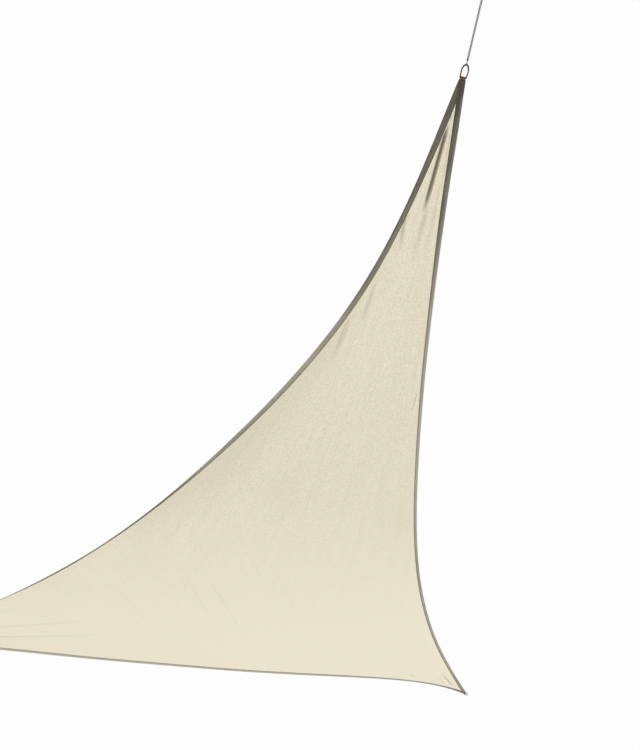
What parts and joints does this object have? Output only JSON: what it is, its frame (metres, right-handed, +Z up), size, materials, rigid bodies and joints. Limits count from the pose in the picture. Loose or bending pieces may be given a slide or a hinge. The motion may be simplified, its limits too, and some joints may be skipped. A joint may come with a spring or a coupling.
{
  "type": "shade sail",
  "caption": "Triangular shade sail of knitted cloth with inward-curving hemmed sides, hanging in wire corner rings, with a laid tie rope at its near corner.",
  "frame": {"origin": "centre of the near corner's ring, which hangs on the tie rope", "axes": "+Z up, +Y along the right-hand side from the near corner towards the far right corner, so the third corner lies towards -X"},
  "size_m": [4.461, 5.3645, 0.6223],
  "materials": {
    "knit": "matt knitted cloth, translucent",
    "webbing": "matt woven webbing",
    "steel": "dull, slightly worn",
    "hook_wire": "dull zinc plated wire",
    "cord": "laid rope, matt with a slight sheen",
    "twine": "matt wound twine"
  },
  "bodies": {
    "root": {"sail": "knit", "strap_near": "webbing", "strap_right": "webbing", "strap_left": "webbing", "ring_near": "steel", "ring_right": "steel", "ring_left": "steel", "rope": "cord", "rope_hook": "hook_wire", "whipping_near": "twine", "whipping_outer": "twine"}
  },
  "joints": []
}
